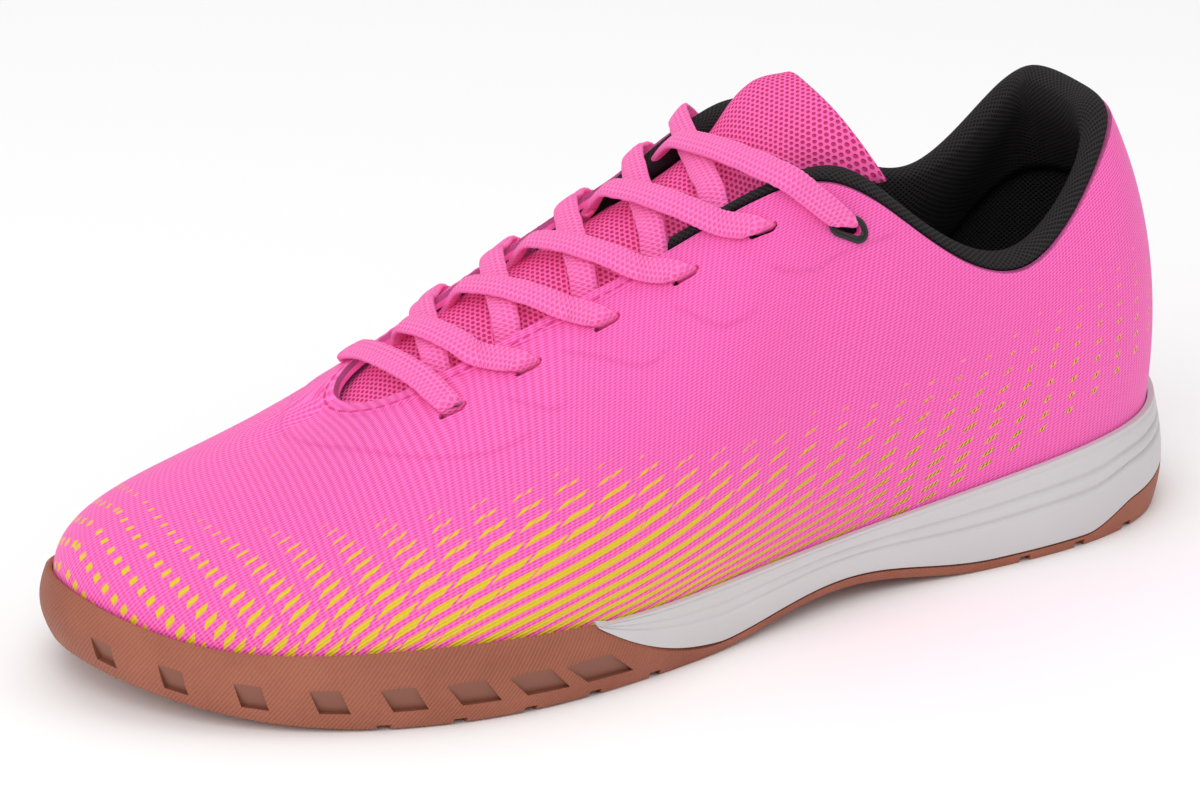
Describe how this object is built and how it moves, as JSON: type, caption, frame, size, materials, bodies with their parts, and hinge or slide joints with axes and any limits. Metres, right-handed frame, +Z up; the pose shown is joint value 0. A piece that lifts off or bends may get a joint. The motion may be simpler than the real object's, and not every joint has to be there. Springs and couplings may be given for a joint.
{
  "type": "indoor court shoe",
  "caption": "Low-cut laced indoor court shoe for the left foot: hollow textile upper, padded collar, mesh tongue, foam midsole and gum outsole with side windows.",
  "frame": {"origin": "middle of the shoe's box in plan, on the floor under the sole", "axes": "-X towards the toe, +X towards the heel, -Y towards the outer (lateral) side, +Y towards the inner (medial) side, +Z up"},
  "size_m": [0.28, 0.1031, 0.1151],
  "materials": {
    "gum_rubber": "matte gum rubber with fine hatching on its side",
    "white_foam": "satin moulded foam",
    "pink_textile": "fine diagonal weave with a yellow dash print",
    "black_knit": "padded knit",
    "pink_mesh": "open spacer mesh",
    "pink_lace": "flat woven lace",
    "black_ring": "glossy"
  },
  "bodies": {
    "root": {"outsole": "gum_rubber", "midsole": "white_foam", "upper": "pink_textile", "collar_lining": "black_knit", "tongue": "pink_mesh", "insole": "black_knit", "lace_bar": "pink_lace", "lace_cross_1": "pink_lace", "lace_cross_2": "pink_lace", "lace_cross_3": "pink_lace", "lace_cross_4": "pink_lace", "lace_cross_5": "pink_lace", "top_eyelet_lateral": "black_ring", "top_eyelet_medial": "black_ring"}
  },
  "joints": []
}
